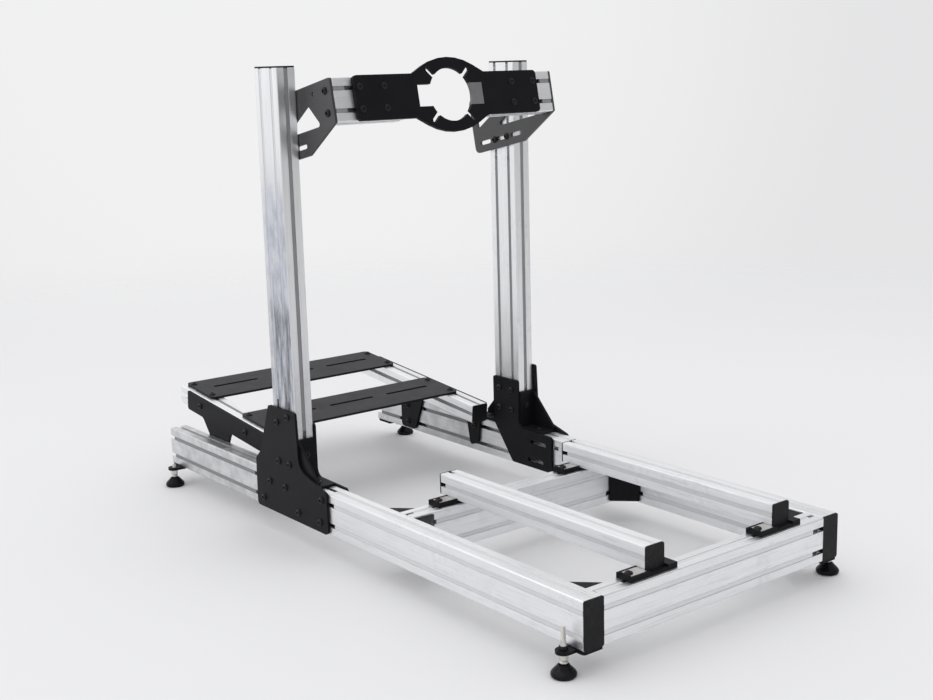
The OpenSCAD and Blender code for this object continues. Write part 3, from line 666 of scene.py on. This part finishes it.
outer_rows = [(-0.123, low_row), (-0.045, low_row), (0.087, low_row), (-0.131, high_row + 0.005),
              (0.001, high_row), (0.059, high_row), (-0.020, rail_high + 0.030), (0.020, rail_high + 0.030),
              (-0.020, rail_high + 0.124), (0.020, rail_high + 0.108)]
inner_rows = [(y, rail_high + z) for y in (-cell / 2, cell / 2) for z in (0.040, 0.084)]
arm_front, arm_rear = frame_y + 0.539, frame_y + 0.282
arm_rows = [(arm_front, low_row), (arm_front, high_row), (arm_rear, high_row)]
beam_rows = (-cell / 2, -1.5 * cell)
bracket_rows = [(0.1394, -0.017), (0.1794, -0.017), (0.155, -0.104), (0.195, -0.104)]
pedal_plates, pedal_screw = (0.134, -0.115), 0.043
spots = []
for s in SIDES:
    spots += beside(s * outer_face, s, outer_rows)
    spots += beside(s * inner_face, -s, inner_rows)
    spots += [((s * inner_face, y, z), (-s, 0, 0)) for y, z in arm_rows]
    spots += [(pedal_deck(s * rail_in, along, -cell / 2), (s, 0, 0)) for along in (-0.100, 0.100)]
    spots += [(wheel_deck(s * rail_in, cell / 2, above), (s, 0, 0)) for above in beam_rows]
    spots += [(wheel_deck(s * inner_face, along, above), (-s, 0, 0)) for along, above in bracket_rows]
    spots += [(pedal_deck(s * pedal_rail_x, at + e * pedal_screw, plate_t), pedal_deck.normal)
              for at in pedal_plates for e in SIDES]
piece("plate_screws", copies(button_head(), spots), black_oxide)
print(len(spots), "button heads")

# %% [markdown]
# The wheel plate is held by low heads, which leave room for a wheel base's flange. The angle brackets
# behind and ahead of the uprights and the foot plates have the same ones, where a high head would catch.
# An angle bracket has one screw in each leg, and a foot plate one beside its stud.

# %% Low heads and bracket screws
mount_t = 8 * MM
leg_on_rail, leg_on_upright = 0.0832, 0.0508
stud_rows, foot_screw_in = ((-1, 0.645), (1, 0.639)), 0.022
wheel_back = tuple(-v for v in wheel_deck.along)
low_spots = [(wheel_deck(s * x, -mount_t, above), wheel_back)
             for s in SIDES for x in (0.150, 0.203) for above in beam_rows]
for s in SIDES:
    for e in SIDES:
        low_spots += [((s * rail_x, upright_y + e * leg_on_rail, rail_high + plate_t), (0, 0, 1)),
                      ((s * rail_x, upright_y + e * (cell + plate_t), rail_high + leg_on_upright), (0, e, 0))]
    for e, along in stud_rows:
        screw_y = frame_y + e * (along - foot_screw_in)
        low_spots.append(((s * rail_x, screw_y, rail_low - plate_t), (0, 0, -1)))
piece("low_head_screws", copies(button_head(radius=6.6, height=2.6, deep=1.5), low_spots), black_oxide)
print(len(low_spots), "low heads")

# %% [markdown]
# Each seat bracket has a zinc-plated clamping plate in its tray, and one screw through that into the
# crossmember's slot. The plate could be a cube with a Bevel modifier, but it is another turned shape
# here, so that the same functions serve: the radius of a rectangle, as a function of the angle, is the
# smaller of half its length over the cosine and half its width over the sine.

# %% Seat bracket plates and screws
def slab(long, wide, thick, broken=0.3, cut=1.2, sides=96):
    """A rectangle's radius at each angle, in four rings with broken edges, closed by two poles. The
    radius is never more than half the diagonal less a cut, which takes the corners' points off."""
    angle = np.arange(sides) * 2 * np.pi / sides
    with np.errstate(divide="ignore"):
        edge = np.minimum(long / 2 / np.abs(np.cos(angle)), wide / 2 / np.abs(np.sin(angle)))
    edge = np.minimum(edge, math.hypot(long, wide) / 2 - cut)
    rows = np.stack([0 * edge, edge - broken, edge, edge, edge - broken, 0 * edge])
    return turned(rows, np.array([thick, thick, thick - broken, broken, 0, 0])[:, None])

clamp_long, clamp_wide, clamp_t, clamp_gap = 36, 25, 3.4, 2.5
clamp_in = cell / 2 + (clamp_gap + clamp_long / 2) * MM
screw_in = 51 * MM
tray_top = rail_high + plate_t
seat_x = [middle(name).x for name in ("left_seat_rail", "right_seat_rail")]
seat_y = [middle(name).y for name in ("rear_left_seat_bracket", "front_left_seat_bracket")]
trays = [(x - clamp_in, y, tray_top) for x in seat_x for y in seat_y]
clamp_points, clamp_faces = slab(clamp_long, clamp_wide, clamp_t)
clamps = joined(*[(clamp_points * MM + np.array(at), clamp_faces) for at in trays])
piece("seat_bracket_plates", clamps, bright_zinc)
seat_screws = [((x - screw_in, y, tray_top + clamp_t * MM), (0, 0, 1)) for x in seat_x for y in seat_y]
piece("seat_bracket_screws", copies(button_head(), seat_screws), black_oxide)
print(len(seat_screws), "seat bracket screws")

# %% [markdown]
# A levelling foot is a threaded stud with a ball end in a moulded pad. The thread is the turned
# surface again, with a radius that depends on both parameters: it rises and falls once for each
# pitch of height, and that wave is shifted by the angle, which winds it into a helix.

# %% Levelling studs
def thread(radius, low, high, pitch=1.25, depth=0.55, sides=24):
    """Radius minus depth times a triangle wave of (height / pitch - angle / full turn). The wave fades out
    at both ends, where closing rings meet the axis."""
    height = np.linspace(low, high, int((high - low) / pitch * 6) + 1)[:, None]
    turn = np.arange(sides)[None, :] / sides
    wave = np.abs(((height / pitch - turn) % 1) * 2 - 1)
    fade = np.clip(np.minimum(height - low, high - height) / pitch, 0, 1)
    r = radius - depth * (1 - fade + fade * wave)
    tip, point = radius - depth - 0.8, high + 0.5
    top = np.array([[0.0], [tip]]) * np.ones((1, sides))
    end = np.array([[tip], [0.0]]) * np.ones((1, sides))
    z = np.concatenate([[[point], [point]], height[::-1], [[low], [low]]]) * np.ones((1, sides))
    return turned(np.concatenate([top, r[::-1], end]), z)

def hex_nut(corner, height, bore, sides=36):
    """A hexagon cut by a cone at both faces: the smaller of the two radii at each height."""
    cone = np.array([corner * 0.87, corner * 0.93, np.inf, np.inf, corner * 0.93, corner * 0.87])[:, None]
    r = np.minimum(corner * hexagon(sides)[None, :], cone)
    z = np.array([height, height - 0.35, height - 0.8, 0.8, 0.35, 0])[:, None]
    bore_r = np.full((2, sides), bore)
    return turned(np.concatenate([bore_r[:1], r, bore_r[1:]]),
                  np.concatenate([[[height]], z, [[0]]]) * np.ones((1, sides)), closed=True)

print("36 mm of thread take", len(thread(3.9, 24, 60)[0]) // 24, "rings of points")

# %% [markdown]
# The foot plates stick out beyond the rails, and a stud goes through each. The rear studs stand well
# over their plates, with a nut and a collar there, and the front ones end just above. Under each
# plate a second nut carries the frame, and the ball at the stud's end sits in the pad. The zinc-plated
# pieces could be an object each, but they are one assembly that replaces the CAD's plain studs, so
# they are joined. Only the black lock nuts are a piece of their own.

# %% Studs in their foot plates
stud_x = rail_out + 15.2 * MM
stud_r, bore_r, nut_r, stud_low, nut_low = 3.9, 3.6, 7.4, 24, 26.5
rear_up, front_up = 37, 7
feet = [(s * stud_x, frame_y + e * along, s, e) for s in SIDES for e, along in stud_rows]
plate_under, plate_over = (rail_low - plate_t) / MM, rail_low / MM
upward = (0, 0, 1)

def at_feet(shape, ends=SIDES):
    """The shape at the rear feet (-1), the front feet (1) or all four."""
    return copies(shape, [((x, y, 0), upward) for x, y, s, e in feet if e in ends])

def lifted(shape, dz):
    """The same shape, dz millimetres higher."""
    return shape[0] + np.array([0, 0, dz]), shape[1]

collar = rings([(3.2, plate_over + 17, 0), (3.9, plate_over + 16.6, 0), (5.2, plate_over + 7, 0),
                (5.2, plate_over + 6.6, 0), (3.2, plate_over + 6.6, 0)], closed=True)
ball = rings([(0, 27, 0), (4.4, 27, 0), (6.6, 24.6, 0), (6.9, 22.4, 0), (5.6, 19.6, 0), (4.4, 18.4, 0),
              (0, 18.4, 0)])
rear_thread, front_thread = (thread(stud_r, stud_low, plate_over + up) for up in (rear_up, front_up))
under_nut = lifted(hex_nut(nut_r, plate_under - nut_low, bore_r), nut_low)
upper_nut = lifted(hex_nut(7.5, 6.4, bore_r), plate_over)
studs = joined(at_feet(rear_thread, (-1,)), at_feet(front_thread, (1,)), at_feet(collar, (-1,)),
               at_feet(ball), at_feet(under_nut))
stud_piece = piece("levelling_studs", studs, bright_zinc)
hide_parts("foot_studs")
piece("lock_nuts", at_feet(upper_nut, (-1,)), black_oxide)

# %% [markdown]
# The pad is one moulding: a sole with a rounded rim, a bell-shaped flank with a shallow step, and
# a collar that grips the ball. A profile of a dozen points, smoothed by a spline, is turned round
# the stud.

# %% Foot pads
def smooth_profile(points, steps=6):
    """Catmull-Rom spline through the points: each span is a cubic that leaves and enters along the
    line between its neighbours."""
    p = np.array(points, float)
    p = np.vstack([2 * p[0] - p[1], p, 2 * p[-1] - p[-2]])
    t = np.linspace(0, 1, steps, endpoint=False)[:, None, None]
    a, b, c, d = p[:-3], p[1:-2], p[2:-1], p[3:]
    curve = 0.5 * (2 * b + (c - a) * t + (2 * a - 5 * b + 4 * c - d) * t ** 2
                   + (3 * b - a - 3 * c + d) * t ** 3)
    return np.vstack([curve.transpose(1, 0, 2).reshape(-1, 2), p[-2]])

flank = smooth_profile([(7.2, 19.4), (8.6, 19.9), (9.9, 18.6), (12.4, 15.6), (16.2, 11.8), (19.4, 8.0),
                        (20.4, 5.0), (19.7, 2.0), (18.2, 0.2)])
pad_rows = [(0, 15.5, 0), (6.2, 15.5, 0), *[(r, z, 0) for r, z in flank], (17.6, 0, 0), (15.5, 0, 0),
            (15.0, 0.8, 0), (0, 0.8, 0)]
for x, y, s, e in feet:
    name = ("rear" if e < 0 else "front") + "_" + ("left" if s < 0 else "right") + "_foot_pad"
    pad = piece(name + "_moulding", copies(rings(pad_rows, 64), [((x, y, 0), upward)]), foot_plastic,
                40)
    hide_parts(name)

# %% [markdown]
# The studio is a pale floor that fades into a pale background, so no horizon shows. A curved backdrop
# would do too, but it has to be lit as evenly as the floor. Here the floor keeps the soft shadow and
# turns transparent with distance from the frame, where the world shows instead.

# %% Floor
def grid_plane(name, half, z, count):
    """A square of (x, y, z) points on a regular grid, with faces between neighbours."""
    line = np.linspace(-half, half, count)
    x, y = np.meshgrid(line, line)
    points = np.stack([x, y, np.full_like(x, z)], -1).reshape(-1, 3)
    i = np.arange(count * count).reshape(count, count)
    quads = np.stack([i[:-1, :-1], i[:-1, 1:], i[1:, 1:], i[1:, :-1]], -1).reshape(-1, 4)
    mesh = bpy.data.meshes.new(name)
    mesh.from_pydata(points.tolist(), [], quads.tolist())
    obj = bpy.data.objects.new(name, mesh)
    bpy.context.scene.collection.objects.link(obj)
    return obj

fade_from, fade_to = 1.2, 4.8
floor = grid_plane("floor", 9.0, 0.0, 25)
material, tree, shader, place = start("studio_floor")
shader.inputs["Base Color"].default_value = (0.80, 0.80, 0.81, 1)
shader.inputs["Roughness"].default_value = 0.6
shader.inputs["Specular IOR Level"].default_value = 0.1
away = add(tree, "VectorMath", {0: place}, operation="LENGTH").outputs["Value"]
clear = add(tree, "BsdfTransparent").outputs[0]
fading = add(tree, "MixShader", {0: spread(tree, away, fade_from, fade_to), 1: shader.outputs[0], 2: clear})
tree.links.new(fading.outputs[0], tree.nodes["Material Output"].inputs["Surface"])
floor.data.materials.append(material)
print("floor fades out from", fade_from, "to", fade_to, "m")

# %% [markdown]
# The world does three jobs. The camera sees it as a nearly white backdrop, a little brighter behind the
# frame than at the sides. Everything matt is lit by it evenly, which keeps the shadows inside the
# frame pale. Metal sees a studio that is not equally bright all round: the big windows of light are on
# the left and overhead, the room behind the camera is darker, and below the horizon the pale floor goes
# on. Those differences are what draws the shape of bare aluminium, so for glossy rays the strength
# follows the direction of the ray.

# %% World
world = bpy.data.worlds.new("studio")
bpy.context.scene.world = world
world.use_nodes = True
tree = world.node_tree
sky = tree.nodes["Background"]
toward = add(tree, "TexCoord").outputs["Generated"]
rays = add(tree, "LightPath").outputs

def facing_way(direction):
    """How far a ray's direction agrees with a given one, from -1 to 1."""
    return add(tree, "VectorMath", {0: toward, 1: direction}, operation="DOT_PRODUCT").outputs["Value"]

def by_ray(ray, yes, no):
    """One strength for a kind of ray, and another for the rest."""
    return add(tree, "Mix", {0: rays[ray], 2: no, 3: yes}, data_type="FLOAT").outputs[0]

dim_side, bright_side, below_horizon, matt_light = 0.38, 1.36, 0.86, 1.24
towards_windows, behind_frame = (-0.62, 0.55, 0.56), (0.5, 0.865, 0.05)
windows = spread(tree, facing_way(towards_windows), -0.9, 0.9, dim_side, bright_side)
down = spread(tree, facing_way((0, 0, -1)), 0.02, 0.10)
glow = add(tree, "Mix", {0: down, 2: windows, 3: below_horizon}, data_type="FLOAT").outputs[0]
strength = by_ray("Is Camera Ray", 1.0, by_ray("Is Glossy Ray", glow, matt_light))
tree.links.new(strength, sky.inputs["Strength"])
backdrop = spread(tree, facing_way(behind_frame), 0.9, 1.0)
tree.links.new(blend(tree, backdrop, (0.78, 0.78, 0.79, 1), (0.88, 0.88, 0.885, 1)), sky.inputs["Color"])
print("metal sees strengths from", dim_side, "to", bright_side)

# %% [markdown]
# Three large area lamps shape the light: a wide key from the upper left, a softer one overhead and a
# low fill from the right. Large lamps give the faint shadows of a product photograph, where a point
# lamp or a sun would draw hard ones. Colours are shown as they are written, with the Standard view.

# %% Lamps
def softbox(name, place, target, size, power):
    """A square area lamp whose -Z axis points from its place to the target."""
    data = bpy.data.lights.new(name, "AREA")
    data.shape, data.size, data.energy = "SQUARE", size, power
    lamp = bpy.data.objects.new(name, data)
    lamp.location = place
    lamp.rotation_euler = (Vector(target) - Vector(place)).to_track_quat("-Z", "Y").to_euler()
    bpy.context.scene.collection.objects.link(lamp)

softbox("key_light", (-2.6, 1.2, 2.4), (0, 0, 0.4), 2.2, 9)
softbox("top_light", (0.3, 0.2, 3.2), (0, 0, 0), 2.6, 8)
softbox("fill_light", (2.6, -1.4, 1.6), (0, 0, 0.3), 2.0, 3)

bpy.context.scene.view_settings.view_transform = "Standard"
print(len(bpy.data.lights), "lamps")
